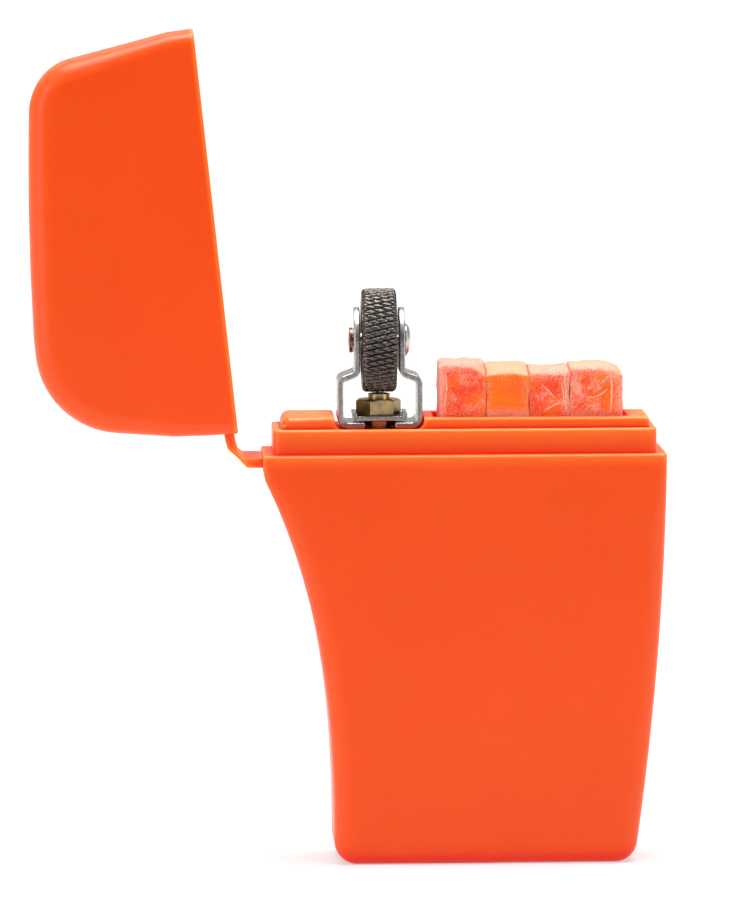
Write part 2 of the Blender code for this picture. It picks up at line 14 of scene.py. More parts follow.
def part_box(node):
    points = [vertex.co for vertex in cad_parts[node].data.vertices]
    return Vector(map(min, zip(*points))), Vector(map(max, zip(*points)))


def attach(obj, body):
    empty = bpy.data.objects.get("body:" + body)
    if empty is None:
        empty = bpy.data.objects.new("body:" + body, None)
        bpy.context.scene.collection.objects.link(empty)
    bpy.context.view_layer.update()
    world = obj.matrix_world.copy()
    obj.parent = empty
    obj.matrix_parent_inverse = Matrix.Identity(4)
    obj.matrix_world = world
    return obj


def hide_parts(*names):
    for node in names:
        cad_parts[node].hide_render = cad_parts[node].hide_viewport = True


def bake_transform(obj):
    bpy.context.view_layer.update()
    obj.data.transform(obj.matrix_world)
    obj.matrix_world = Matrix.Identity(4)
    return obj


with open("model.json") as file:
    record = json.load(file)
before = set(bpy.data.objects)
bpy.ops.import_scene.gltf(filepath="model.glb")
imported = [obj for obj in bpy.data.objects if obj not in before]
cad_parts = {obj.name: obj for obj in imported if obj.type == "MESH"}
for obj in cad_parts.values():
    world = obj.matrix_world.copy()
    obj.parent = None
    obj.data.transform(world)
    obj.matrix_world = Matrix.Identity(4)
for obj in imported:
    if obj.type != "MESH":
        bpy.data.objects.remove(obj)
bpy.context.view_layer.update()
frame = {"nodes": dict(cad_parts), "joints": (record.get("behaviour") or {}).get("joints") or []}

MM = 0.001
UP = Vector((0.0, 0.0, 1.0))


# ---- places taken from the frame ----


def box_mm(node):
    """Lowest and highest corner of a CAD node in millimetres."""
    low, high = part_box(node)
    return low / MM, high / MM


def joint(name):
    return next(item for item in frame["joints"] if item["name"] == name)


CASE_HIGH = box_mm("outer_case")[1]
DECK_HIGH = box_mm("insert_deck")[1]
BRACKET_HIGH = box_mm("wheel_bracket")[1]
WHEEL_HIGH = box_mm("spark_wheel")[1]
RIVET_HIGH = box_mm("axle_rivet")[1]
WASHER_LOW, WASHER_HIGH = box_mm("tab_washer")
NUT_LOW, NUT_HIGH = box_mm("tube_nut")
TUBE_LOW, TUBE_HIGH = box_mm("flint_tube")
HINGE = Vector(joint("lid_hinge")["pos_m"]) / MM
AXLE = Vector(joint("wheel_spin")["pos_m"]) / MM
LID_OPEN = -joint("lid_hinge")["range_deg"][0]

# ---- driving dimensions ----

ARC_STEP = 6.0  # largest turn between two points of a rounded corner
SHARP = 38.0  # edges that turn more than this stay sharp

HALF_DEPTH = CASE_HIGH.y
CROWN = 0.28  # how much thinner the shells are at their ends than at mid width
CROWN_X = -3.05
CROWN_HALF = 28.1
EDGE = 0.55  # rounding of the rim along the front and back
END_EDGE = 0.2  # and round the ends
WELD = 0.01  # points of a cut that are nearer than this become one

RIM_Z = 57.1
RIM_LEFT = -31.1
RIM_RIGHT = CASE_HIGH.x
FOOT_LEFT = -21.46
FLARE = 9.45  # how far the hinge side has swung out at FLARE_Z, growing as a power of the height
FLARE_Z = 53.8
FLARE_POWER = 2.7
RIGHT_LEAN = 0.012  # slope of the free side below the rim, and how gently it bows
RIGHT_BOW = 829.0
SIDE_PULL = 0.06  # how far the free side draws in, for each millimetre that its fillet is sharper
FOOT_CORNER = 3.2
FOOT_FILLET = 1.9
SIDE_FILLET = 2.5
RIM_FILLET = 0.6
RIM_RUN = 13.0  # length over which the corners of the walls soften away from the rim
NECK_LEFT = -29.65
NECK_RIGHT = 23.5
NECK_HALF_DEPTH = 7.95
NECK_TOP = CASE_HIGH.z
NECK_WALL = 1.0
NECK_CORNER = 1.1
NECK_EDGE = 0.55
SHELF_Z = 55.9  # the insert stands on this shelf inside the neck
ROOM_FLOOR = 2.3  # the hollow below the shelf
ROOM_WALL = 2.9
ROOM_HALF_DEPTH = 6.45

LID_START = 2.63  # from the hinge axis to the lid's outline, and up to the closed lid's mouth
LID_MOUTH = 0.1
LID_FILLET = 3.1
LID_PULL = 0.07  # how far its outline draws in, for each millimetre that its fillet is sharper
MOUTH_FILLET = 1.7
LID_RUN = 20.0  # length over which the lid's corners soften away from its mouth
MOUTH_EDGE = 0.25
LID_WALL = 1.05
LEAST_FILLET = 0.3

STRAP_HALF = 6.45

DECK_LEFT_TOP = 62.32
DECK_RIGHT_TOP = 62.12
SLOT_LEFT = -21.1
SLOT_RIGHT = -8.7
SLOT_FLOOR = 60.3
WELL_LEFT = -7.3
WELL_RIGHT = 19.7
WELL_HALF_DEPTH = 5.3
WELL_WALL = 0.8
WELL_FLOOR = 29.2
PLAY = 0.03  # between the insert and the neck
LEDGE_STEP = 0.27  # from the insert's edge to the block left of the slot
BLOCK_ROUND = 1.1  # rounding of that block, and of the deck right of the slot
DECK_ROUND = 0.6

STEEL = 0.85
ARM_HALF = BRACKET_HIGH.y
LEG_X = 5.5
ARM_X = 3.125
SHOULDER_HIGH = 68.05
SHOULDER_LOW = 67.2
BASE_Z = 60.875
CUTS = 53  # the wheel's two crossed sets of cuts, and how far each slants in degrees
CUT_SLANT = 13.5
CROSS_CUTS = 60
CROSS_SLANT = -24.0
TUBE_HOLE = 1.65  # radius of the holes that the flint tube passes through
STRIKER = Matrix.Translation((AXLE.x, 0.0, 0.0))  # striker pieces are drawn about the tube's axis


# ---- plane outlines ----


def rounded(corners):
    """Turns (x, z, radius) corners of a closed outline into points, with an arc at each corner's radius."""
    points = []
    for index, (x, z, radius) in enumerate(corners):
        corner = Vector((x, z))
        if radius == 0.0:
            points.append(corner)
            continue
        before = (Vector(corners[index - 1][:2]) - corner).normalized()
        after = (Vector(corners[(index + 1) % len(corners)][:2]) - corner).normalized()
        half_angle = before.angle(after) / 2.0
        centre = corner + (before + after).normalized() * (radius / math.sin(half_angle))
        start = corner + before * (radius / math.tan(half_angle)) - centre
        turn = math.pi - 2.0 * half_angle
        if before.x * after.y - before.y * after.x > 0.0:
            turn = -turn
        steps = max(2, math.ceil(math.degrees(abs(turn)) / ARC_STEP))
        for step in range(steps + 1):
            points.append(centre + Matrix.Rotation(turn * step / steps, 2) @ start)
    return points


def inset(points, distances):
    """Moves each point of an anticlockwise outline inwards by its own distance."""
    moved = []
    for index, point in enumerate(points):
        run = points[(index + 1) % len(points)] - points[index - 1]
        inward = Vector((-run.y, run.x)).normalized()
        moved.append(point + inward * distances[index])
    return moved


def spaced(points, step):
    """Adds points along the straight runs of a closed outline that are longer than a step."""
    result = []
    for index, point in enumerate(points):
        after = points[(index + 1) % len(points)]
        parts = max(1, math.ceil((after - point).length / step))
        result += [point.lerp(after, part / parts) for part in range(parts)]
    return result


def circle(radius, sides, turn=0.0):
    angles = [math.radians(turn) + 2.0 * math.pi * side / sides for side in range(sides)]
    return [Vector((radius * math.cos(angle), radius * math.sin(angle))) for angle in angles]


def block_outline(left, right, half_depth, corner):
    front = [(left, -half_depth, corner), (right, -half_depth, corner)]
    back = [(right, half_depth, corner), (left, half_depth, corner)]
    return rounded(front + back)


def ribbon(corners, thickness):
    """Outline of a bent strip whose open centre line runs through (x, z, radius) corners."""
    line = []
    for index, (x, z, radius) in enumerate(corners):
        if radius == 0.0:
            line.append(Vector((x, z)))
            continue
        triple = [corners[index - 1][:2] + (0.0,), corners[index], corners[index + 1][:2] + (0.0,)]
        line += rounded(triple)[1:-1]
    sides = ([], [])
    for index, point in enumerate(line):
        run = line[min(index + 1, len(line) - 1)] - line[max(index - 1, 0)]
        across = Vector((-run.y, run.x)).normalized() * (thickness / 2.0)
        sides[0].append(point + across)
        sides[1].append(point - across)
    return sides[0] + sides[1][::-1]


# ---- shapes ----


def loft(rings, closed_ends=True):
    """Surface through rings of equal length. An end ring of one point becomes a pole."""
    shape = bmesh.new()
    add_loft(shape, rings, closed_ends)
    bmesh.ops.recalc_face_normals(shape, faces=shape.faces)
    return shape


def add_loft(shape, rings, closed_ends=True, first_row=None):
    """Adds rows of vertices through the rings to a shape and returns the last row."""
    rows = [first_row] if first_row else []
    rows += [[shape.verts.new(point) for point in ring] for ring in rings]
    for low, high in zip(rows, rows[1:]):
        count = max(len(low), len(high))
        for index in range(count):
            after = (index + 1) % count
            corners = [low[index % len(low)], low[after % len(low)]]
            corners += [high[after % len(high)], high[index % len(high)]]
            shape.faces.new(list(dict.fromkeys(corners)))
    if closed_ends:
        for row in (rows[0][::-1], rows[-1]):
            if len(row) > 2:
                shape.faces.new(row)
    return rows[-1]


def prism_y(outline, half_depth):
    return loft([[(p.x, y, p.y) for p in outline] for y in (-half_depth, half_depth)])


def prism_z(outline, low, high):
    return loft([[(p.x, p.y, z) for p in outline] for z in (low, high)])


def prism_x(outline, low, high):
    return loft([[(x, p.x, p.y) for p in outline] for x in (low, high)])


def pillow(outline, half_depth, fillets, centre, steps=9, face_rings=7):
    """Extrudes an anticlockwise XZ outline along Y and rounds each point's front and back by its fillet."""
    half = []
    for step in range(steps + 1):
        angle = math.pi / 2.0 * step / steps
        edge = inset(outline, [fillet * (1.0 - math.cos(angle)) for fillet in fillets])
        depths = [half_depth - fillet * (1.0 - math.sin(angle)) for fillet in fillets]
        half.append(list(zip(edge, depths)))
    flat = half[-1]
    for ring in range(1, face_rings):
        share = 1.0 - ring / face_rings
        half.append([(centre + (p - centre) * share, half_depth) for p, _ in flat])
    half.append([(centre, half_depth)])
    rings = [[(p.x, -y, p.y) for p, y in ring] for ring in half[::-1]]
    rings += [[(p.x, y, p.y) for p, y in ring] for ring in half]
    return loft(rings)


def eased(low, high, share):
    """Runs from low to high as a share goes from 0 to 1, level at both ends."""
    share = min(1.0, max(0.0, share))
    return low + (high - low) * share * share * (3.0 - 2.0 * share)


def shell(outline, half_depth, fillets, centre, height, keep_above):
    """A pillow that thins towards its two ends, so that its faces bow a little, cut open at a level."""
    shape = pillow(outline, half_depth, fillets, centre)
    for vert in shape.verts:
        across = (vert.co.x - CROWN_X) / CROWN_HALF
        vert.co.y *= 1.0 - CROWN / HALF_DEPTH * across * across
    bmesh.ops.bisect_plane(
        shape,
        geom=shape.verts[:] + shape.edges[:] + shape.faces[:],
        plane_co=UP * height,
        plane_no=UP,
        clear_inner=keep_above,
        clear_outer=not keep_above,
    )
    bmesh.ops.remove_doubles(shape, verts=shape.verts, dist=WELD)
    return shape


def hoop(rings):
    """Surface through rings of equal length, the last of which joins the first."""
    shape = bmesh.new()
    rows = [[shape.verts.new(point) for point in ring] for ring in rings]
    for low, high in zip(rows, rows[1:] + rows[:1]):
        for index in range(len(low)):
            after = (index + 1) % len(low)
            shape.faces.new((low[index], low[after], high[after], high[index]))
    bmesh.ops.recalc_face_normals(shape, faces=shape.faces)
    return shape


def turned(profile, sides=64):
    """Revolves a (radius, height) profile about Z that ends on the axis, at radius 0, or joins its start."""
    rings = []
    for radius, height in profile:
        around = circle(radius, sides) if radius > 0.0 else [Vector((0.0, 0.0))]
        rings.append([(p.x, p.y, height) for p in around])
    return loft(rings) if profile[0][0] == 0.0 else hoop(rings)


def open_ring(shape):
    """The vertices of a shape's one open loop, anticlockwise from above, and their XY places."""
    follows = {}
    first = None
    for edge in shape.edges:
        if edge.is_boundary:
            first = first or edge.verts[0]
            for near, far in (edge.verts, reversed(edge.verts)):
                follows.setdefault(near, []).append(far)
    ring = [first, follows[first][0]]
    while True:
        after = [vert for vert in follows[ring[-1]] if vert is not ring[-2]][0]
        if after is first:
            break
        ring.append(after)
    area = sum(a.co.x * b.co.y - a.co.y * b.co.x for a, b in zip(ring, ring[1:] + ring[:1]))
    if area < 0.0:
        ring.reverse()
    return ring, [vert.co.xy for vert in ring]


def rim_radii(outline, broad, narrow):
    """Edge radii for an XY outline: broad along its front and back, narrow round its ends."""
    radii = []
    for index, before in enumerate(outline):
        run = (outline[(index + 2) % len(outline)] - before).normalized()
        radii.append(narrow + (broad - narrow) * abs(run.x) ** 3.0)
    return radii[-1:] + radii[:-1]


def rounded_rows(outline, top, radii, rise=1.0, steps=6):
    """Rows that turn an XY outline's wall into a level face at a height, rising to it or falling."""
    rows = []
    for step in range(steps + 1):
        angle = math.pi / 2.0 * step / steps
        edge = inset(outline, [radius * (1.0 - math.cos(angle)) for radius in radii])
        drops = [rise * radius * (1.0 - math.sin(angle)) for radius in radii]
        rows.append([(p.x, p.y, top - drop) for p, drop in zip(edge, drops)])
    return rows


def ring_edges(shape, ring):
    pairs = zip(ring, ring[1:] + ring[:1])
    return [shape.edges.get(pair) or shape.edges.new(pair) for pair in pairs]


def merged(shape, other):
    """Adds the second shape's mesh to the first."""
    mesh = bpy.data.meshes.new("merged")
    other.to_mesh(mesh)
    other.free()
    shape.from_mesh(mesh)
    bpy.data.meshes.remove(mesh)


def flattened(shape):
    """Makes the flat faces of a shape whole."""
    bmesh.ops.dissolve_limit(shape, angle_limit=math.radians(0.4), verts=shape.verts, edges=shape.edges)
    return shape


def bevelled(shape, edges, width, segments):
    bmesh.ops.bevel(shape, geom=edges, offset=width, segments=segments, profile=0.5, affect="EDGES")


def softened(shape, width, segments=2, angle=35.0, flat=True):
    """Rounds every edge that turns more than an angle. Flat faces are made whole first."""
    bmesh.ops.remove_doubles(shape, verts=shape.verts, dist=0.004)
    if flat:
        flattened(shape)
    limit = math.radians(angle)
    edges = [e for e in shape.edges if e.is_manifold and e.calc_face_angle(0.0) > limit]
    bevelled(shape, edges, width, segments)
    return shape


def combined(base, steps):
    """Evaluates Boolean steps, each an operation and a shape, on a base shape."""
    item = scene_object(base, "base")
    tools = []
    for operation, shape in steps:
        tool = scene_object(shape, "tool")
        modifier = item.modifiers.new(operation, "BOOLEAN")
        modifier.operation = operation
        modifier.solver = "EXACT"
        modifier.object = tool
        tools.append(tool)
    graph = bpy.context.evaluated_depsgraph_get()
    result = bmesh.new()
    result.from_mesh(item.evaluated_get(graph).to_mesh())
    for used in [item] + tools:
        bpy.data.objects.remove(used)
    return result


def linked(name, data):
    """Puts an object with this data in the scene."""
    item = bpy.data.objects.new(name, data)
    bpy.context.scene.collection.objects.link(item)
    return item


def scene_object(shape, name):
    mesh = bpy.data.meshes.new(name)
    shape.to_mesh(mesh)
    shape.free()
    return linked(name, mesh)


def piece(name, shape, material, at=None, weighted=True):
    """Makes a visible piece in metres from a shape in millimetres."""
    if at is not None:
        bmesh.ops.transform(shape, matrix=at, verts=shape.verts)
    bmesh.ops.scale(shape, vec=(MM, MM, MM), verts=shape.verts)
    made = scene_object(shape, name)
    made.data.shade_smooth()
    made.data.set_sharp_from_angle(angle=math.radians(SHARP))
    made.data.materials.append(material)
    if weighted:
        normals = made.modifiers.new("weighted", "WEIGHTED_NORMAL")
        normals.keep_sharp = True
    return made


# ---- materials ----


def fill(tree, socket, value):
    """Gives a socket a constant, or the output that feeds it."""
    if isinstance(value, bpy.types.NodeSocket):
        tree.links.new(value, socket)
    else:
        socket.default_value = value


def add_node(tree, kind, **inputs):
    """Adds a shader node. Its inputs are named with _ for a space and hold constants or outputs."""
    node = tree.nodes.new("ShaderNode" + kind)
    for name, value in inputs.items():
        fill(tree, node.inputs[name.replace("_", " ")], value)
    return node


class Shader:
    """A Principled material with short calls for its procedural inputs."""

    def __init__(self, name, **sockets):
        self.material = bpy.data.materials.new(name)
        self.material.use_nodes = True
        self.tree = self.material.node_tree
        self.surface = self.tree.nodes["Principled BSDF"]
        for socket, value in sockets.items():
            self.set(socket.replace("_", " "), value)
        self.place = self.node("TexCoord").outputs["Object"]

    def node(self, kind, **inputs):
        return add_node(self.tree, kind, **inputs)

    def set(self, socket, value):
        fill(self.tree, self.surface.inputs[socket], value)

    def stretched(self, scale):
        """Object coordinates stretched by a scale along each axis."""
        return self.node("Mapping", Vector=self.place, Scale=scale).outputs["Vector"]

    def noise(self, scale, detail=3.0, roughness=0.55, place=None):
        inputs = {"Vector": place or self.place, "Scale": scale, "Detail": detail, "Roughness": roughness}
        return self.node("TexNoise", **inputs).outputs["Fac"]

    def ramp(self, source, low, high, start=0.0, end=1.0):
        """Maps a range of a value onto another range, clamped."""
        node = self.node("MapRange", Value=source, From_Min=low, From_Max=high, To_Min=start, To_Max=end)
        return node.outputs["Result"]

    def math(self, operation, first, second):
        node = self.node("Math")
        node.operation = operation
        node.use_clamp = True
        fill(self.tree, node.inputs[0], first)
        fill(self.tree, node.inputs[1], second)
        return node.outputs["Value"]

    def mix(self, share, first, second):
        """Mixes two colours, each a tuple or an output."""
        node = self.node("Mix")
        node.data_type = "RGBA"
        fill(self.tree, node.inputs["Factor"], share)
        for socket, value in ((node.inputs[6], first), (node.inputs[7], second)):
            fill(self.tree, socket, (*value, 1.0) if isinstance(value, tuple) else value)
        return node.outputs[2]

    def bump(self, height, strength, distance, under=None):
        """Bumps the surface by a height, on top of another bump if one is given."""
        node = self.node("Bump", Height=height, Strength=strength, Distance=distance)
        if under:
            fill(self.tree, node.inputs["Normal"], under)
        self.set("Normal", node.outputs["Normal"])
        return node.outputs["Normal"]

    def axis(self, name):
        """One object coordinate in metres."""
        return self.node("SeparateXYZ", Vector=self.place).outputs[name]

    def upward(self):
        """The Z part of the surface normal, from 0 for level to 1 for straight up."""
        normal = self.node("NewGeometry").outputs["Normal"]
        return self.node("SeparateXYZ", Vector=normal).outputs["Z"]

    def openness(self, reach, inside=False):
        """1 where nothing lies within reach of the surface, less in a corner or, inside, at an outer edge."""
        node = self.node("AmbientOcclusion", Distance=reach)
        node.samples = 12
        node.inside = inside
        return node.outputs["AO"]

    def pointiness(self):
        """Above 0.5 on raised edges and below it in hollows."""
        return self.node("NewGeometry").outputs["Pointiness"]


def moulded_plastic(name, colour, deeper, brims=()):
    """Satin injection-moulded plastic: a fine spark-eroded grain and faint flow clouds.

    It has a painted highlight, a lighter orange, near any outer edge and below each of its brims, standing in
    for light from above that comes through an edge. A brim is given by its height, how far down the painted
    highlight reaches and how strong it is. Corners and hollows have painted shade, a deeper red.
    """
    through = {"Subsurface_Weight": 0.8, "Subsurface_Radius": (1.0, 0.9, 0.4), "Subsurface_Scale": 0.0014}
    made = Shader(name, Specular_IOR_Level=0.28, **through)
    clouds = made.noise(55.0, 4.0)
    body = made.mix(made.ramp(clouds, 0.3, 0.7), colour, deeper)
    # Painted highlight: a lighter orange near any outer edge.
    edges = made.ramp(made.openness(0.00085, inside=True), 0.98, 0.6)
    # Painted highlight below each brim, fading downwards over its reach.
    for brim, reach, strength in brims:
        height = made.axis("Z")
        below = made.ramp(height, (brim + 0.06) * MM, (brim + 0.04) * MM)
        brim_highlight = made.ramp(height, (brim - reach) * MM, brim * MM, 0.0, strength)
        edges = made.math("MAXIMUM", edges, made.math("MULTIPLY", below, brim_highlight))
    # Mixes in the lighter orange of the painted highlight.
    body = made.mix(edges, body, (1.0, 0.24, 0.03))
    # Painted shade: corners and hollows take a deeper red.
    corners = made.ramp(made.openness(0.004), 0.45, 0.92)
    made.set("Base Color", made.mix(corners, (0.85, 0.028, 0.004), body))
    wear = made.noise(420.0, 5.0, 0.6)
    made.set("Roughness", made.ramp(wear, 0.3, 0.7, 0.31, 0.38))
    grain = made.bump(made.noise(9000.0, 2.0, 0.6), 0.1, 0.00002)
    made.bump(made.noise(900.0), 0.05, 0.00004, grain)
    return made.material


STEEL_COLOUR = (0.6, 0.59, 0.57)


def rolled_steel(name, colour, roughness, streak_scale):
    """Bright steel with fine rolling lines and small dull patches."""
    made = Shader(name, Metallic=1.0)
    lines = made.noise(1.0, 4.0, 0.65, made.stretched(streak_scale))
    made.set("Roughness", made.ramp(lines, 0.3, 0.7, roughness * 0.75, roughness * 1.35))
    stains = made.noise(500.0, 3.0, 0.5)
    dull = tuple(channel * 0.8 for channel in colour)
    made.set("Base Color", made.mix(made.ramp(stains, 0.42, 0.75), colour, dull))
    under = made.bump(lines, 0.12, 0.00003)
    made.bump(made.noise(1500.0), 0.08, 0.00003, under)
    return made.material


def rivet_steel(left_end):
    """Bright steel, brown at its clinched end."""
    made = Shader("rivet_steel", Roughness=0.26, Metallic=1.0)
    brown_end = made.ramp(made.axis("X"), left_end, left_end - 0.0002)
    spots = made.ramp(made.noise(1500.0, 4.0, 0.6), 0.35, 0.7)
    brown = made.mix(spots, (0.16, 0.09, 0.075), (0.34, 0.2, 0.16))
    made.set("Base Color", made.mix(brown_end, STEEL_COLOUR, brown))
    made.bump(made.noise(2600.0), 0.15, 0.00003)
    return made.material


def hardened_steel():
    """Dark hardened steel, brighter on the tops of the teeth: partly the rub of the flint and the thumb,
    partly painted glints.
    """
    made = Shader("hardened_steel", Metallic=1.0)
    # Tops of the teeth lighter: painted glints, and the rub of flint and thumb.
    crest_glint_and_rub = made.ramp(made.pointiness(), 0.49, 0.56)
    spots = made.ramp(made.noise(1600.0, 4.0, 0.6), 0.35, 0.7)
    shade = made.mix(spots, (0.15, 0.135, 0.12), (0.24, 0.225, 0.205))
    made.set("Base Color", made.mix(crest_glint_and_rub, (0.055, 0.047, 0.042), shade))
    made.set("Roughness", made.ramp(spots, 0.0, 1.0, 0.5, 0.34))
    made.bump(made.noise(5000.0), 0.25, 0.00003)
    return made.material


def turned_brass():
    made = Shader("turned_brass", Metallic=1.0)
    rings = made.noise(1.0, 3.0, 0.6, made.stretched((300.0, 300.0, 9000.0)))
    tarnish = made.ramp(made.noise(600.0, 4.0, 0.6), 0.4, 0.7)
    made.set("Base Color", made.mix(tarnish, (0.82, 0.58, 0.27), (0.42, 0.32, 0.19)))
    made.set("Roughness", made.ramp(rings, 0.3, 0.7, 0.22, 0.36))
    made.bump(rings, 0.1, 0.00002)
    return made.material


# Each stick's wax: its deep and clear colours, where the clear patches start in the noise, and how white its
# left edge, right edge, top, foot and body are.
WAXES = (
    ((0.98, 0.07, 0.012), (1.0, 0.17, 0.004), 0.46, 1.0, 0.45, 0.85, 0.6, 0.8),
    ((1.0, 0.15, 0.006), (1.0, 0.19, 0.006), 0.36, 0.4, 0.5, 0.75, 0.95, 0.35),
    ((0.98, 0.08, 0.012), (1.0, 0.16, 0.006), 0.46, 0.35, 0.9, 0.85, 0.4, 0.75),
    ((0.98, 0.1, 0.014), (1.0, 0.18, 0.01), 0.4, 0.7, 1.0, 0.85, 0.75, 1.05),
)
# Colour of the white bloom, also used for the painted light on upward faces.
BLOOM_AND_LIGHT = (1.0, 0.46, 0.36)


def wax_fibre(number, left_side, right_side, top_z):
    """Orange fibre pressed in wax, clear in places, with a white fibrous bloom on its edges and its top, and
    paler where it faces up: there partly bloom and partly painted light from above.
    """
    deep, clear, start, left, right, top, foot, body_bloom = WAXES[number - 1]
    through = {"Subsurface_Weight": 0.5, "Subsurface_Radius": (1.0, 0.3, 0.08), "Subsurface_Scale": 0.0009}
    made = Shader(f"wax_fibre_{number}", Specular_IOR_Level=0.3, **through)
    patches = made.noise(300.0, 4.0, 0.55)
    body = made.mix(made.ramp(patches, start, start + 0.18), deep, clear)
    across = made.axis("X")
    up = made.axis("Z")
    on_left = made.ramp(across, (left_side + 2.0) * MM, (left_side + 0.2) * MM, 0.0, left)
    on_right = made.ramp(across, (right_side - 2.2) * MM, (right_side - 0.2) * MM, 0.0, right)
    near_top = made.ramp(up, (top_z - 2.6) * MM, (top_z - 0.5) * MM, 0.0, top)
    near_foot = made.ramp(up, 64.0 * MM, 62.3 * MM, 0.0, foot)
    cloud = made.ramp(made.noise(520.0, 5.0, 0.65), 0.38, 0.68, 0.0, body_bloom)
    zone = made.math("MAXIMUM", on_left, on_right)
    for other in (near_top, near_foot, cloud):
        zone = made.math("MAXIMUM", zone, other)
    fine = made.noise(3400.0, 6.0, 0.72)
    broken = made.math("ADD", made.math("MULTIPLY", zone, 0.34), fine)
    flecks = made.ramp(broken, 0.6, 0.88, 0.0, 0.85)
    # Paler where the surface faces up: partly fibre bloom, partly painted light from above.
    upward_bloom_and_light = made.ramp(made.upward(), 0.15, 0.7)
    crown = made.math("MULTIPLY", upward_bloom_and_light, made.ramp(fine, 0.36, 0.6, 0.25 * top, 0.68))
    edges = made.ramp(made.pointiness(), 0.51, 0.58, 0.0, 0.3)
    pale = made.math("MAXIMUM", flecks, made.math("MAXIMUM", crown, edges))
    made.set("Base Color", made.mix(pale, body, BLOOM_AND_LIGHT))
    made.set("Roughness", made.ramp(pale, 0.0, 1.0, 0.36, 0.65))
    under = made.bump(made.noise(2200.0, 5.0, 0.65), 0.3, 0.00008)
    made.bump(flecks, 0.35, 0.00006, under)
    return made.material


def pale_thread():
    made = Shader("pale_thread", Roughness=0.6)
    fuzz = made.noise(3000.0)
    shade = made.mix(made.ramp(fuzz, 0.35, 0.65), (1.0, 0.56, 0.42), (0.97, 0.3, 0.15))
    made.set("Base Color", shade)
    made.bump(fuzz, 0.3, 0.00003)
    return made.material


def flint_metal():
    made = Shader("flint_metal", Roughness=0.6, Metallic=0.6)
    pores = made.noise(2500.0, 4.0)
    shade = made.mix(made.ramp(pores, 0.35, 0.65), (0.12, 0.115, 0.11), (0.27, 0.26, 0.25))
    made.set("Base Color", shade)
    made.bump(pores, 0.4, 0.00005)
    return made.material


def make_materials():
    orange = (0.9, 0.09, 0.005)
    deeper = (0.87, 0.083, 0.004)
    # Painted highlight below the rim and the neck's top: each brim's height, reach and strength.
    case_brims = ((RIM_Z, 1.9, 0.6), (NECK_TOP, 2.9, 0.6))
    return {
        "plastic": moulded_plastic("orange_plastic", orange, deeper),
        "case": moulded_plastic("orange_case", orange, deeper, case_brims),
        # The insert has a painted highlight below its top.
        "deck": moulded_plastic("orange_insert", orange, deeper, ((DECK_LEFT_TOP, 2.2, 0.65),)),
        "steel": rolled_steel("rolled_steel", STEEL_COLOUR, 0.24, (900.0, 14000.0, 900.0)),
        "plated": rolled_steel("plated_steel", (0.55, 0.54, 0.52), 0.26, (2500.0, 2500.0, 900.0)),
        "spring": rolled_steel("spring_wire", (0.5, 0.5, 0.52), 0.3, (5000.0, 5000.0, 5000.0)),
        "rivet": rivet_steel((AXLE.x - ARM_X) * MM),
        "dark": hardened_steel(),
        "brass": turned_brass(),
        "thread": pale_thread(),
        "flint": flint_metal(),
    }


# ---- case and lid ----


def case_left(z):
    return max(RIM_LEFT, FOOT_LEFT - FLARE * (z / FLARE_Z) ** FLARE_POWER)


def case_right(z):
    drop = RIM_Z - z
    return RIM_RIGHT - RIGHT_LEAN * drop - drop**2 / RIGHT_BOW


def case_outline():
    """Anticlockwise XZ outline of the case, drawn a little past the rim."""
    top = RIM_Z + 5.0
    levels = [top * step / 44.0 for step in range(3, 45)]
    foot = [(case_left(0.0), 0.0, FOOT_CORNER), (case_right(0.0), 0.0, FOOT_CORNER)]
    up_right = [(case_right(z), z, 0.0) for z in levels]
    down_left = [(case_left(z), z, 0.0) for z in reversed(levels)]
    return spaced(rounded(foot + up_right + down_left), 3.0)


def case_room():
    """The hollow of the case, from its floor up through the shelf that the insert stands on."""
    high = SHELF_Z + 1.0
    levels = [ROOM_FLOOR + (high - ROOM_FLOOR) * step / 30.0 for step in range(31)]
    right = [Vector((case_right(z) - ROOM_WALL, z)) for z in levels]
    left = [Vector((case_left(z) + ROOM_WALL, z)) for z in reversed(levels)]
    return prism_y(right + left, ROOM_HALF_DEPTH)


def make_case(materials):
    """The shell up to its rim, and the neck that stands inside the rim, in one piece."""
    outline = case_outline()
    fillets = []
    for point in outline:
        fillet = eased(RIM_FILLET, SIDE_FILLET, (RIM_Z - point.y) / RIM_RUN)
        fillets.append(min(fillet, eased(FOOT_FILLET, SIDE_FILLET, point.y / FOOT_CORNER)))
    pulled = [SIDE_PULL * (SIDE_FILLET - f) if p.x > 0.0 else 0.0 for p, f in zip(outline, fillets)]
    centre = Vector((0.0, 30.0))
    shape = shell(inset(outline, pulled), HALF_DEPTH, fillets, centre, RIM_Z - EDGE - 0.1, keep_above=False)
    ring, edge = open_ring(shape)
    rim = add_loft(shape, rounded_rows(edge, RIM_Z, rim_radii(edge, EDGE, END_EDGE)), False, ring)
    neck = spaced(block_outline(NECK_LEFT, NECK_RIGHT, NECK_HALF_DEPTH, NECK_CORNER), 2.0)
    rows = rounded_rows(neck, NECK_TOP, rim_radii(neck, NECK_EDGE, END_EDGE))
    mouth = inset(neck, [NECK_WALL - 0.1] * len(neck))
    rows += [[(p.x, p.y, z) for p in mouth] for z in (NECK_TOP, SHELF_Z)]
    foot = [shape.verts.new((p.x, p.y, RIM_Z)) for p in neck]
    bmesh.ops.bridge_loops(shape, edges=ring_edges(shape, rim) + ring_edges(shape, foot))
    shape.faces.new(add_loft(shape, rows, False, foot))
    bmesh.ops.recalc_face_normals(shape, faces=shape.faces)
    shape = combined(shape, [("DIFFERENCE", case_room())])
    made = piece("case_shell", shape, materials["case"])
    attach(made, "case")
    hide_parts("outer_case")


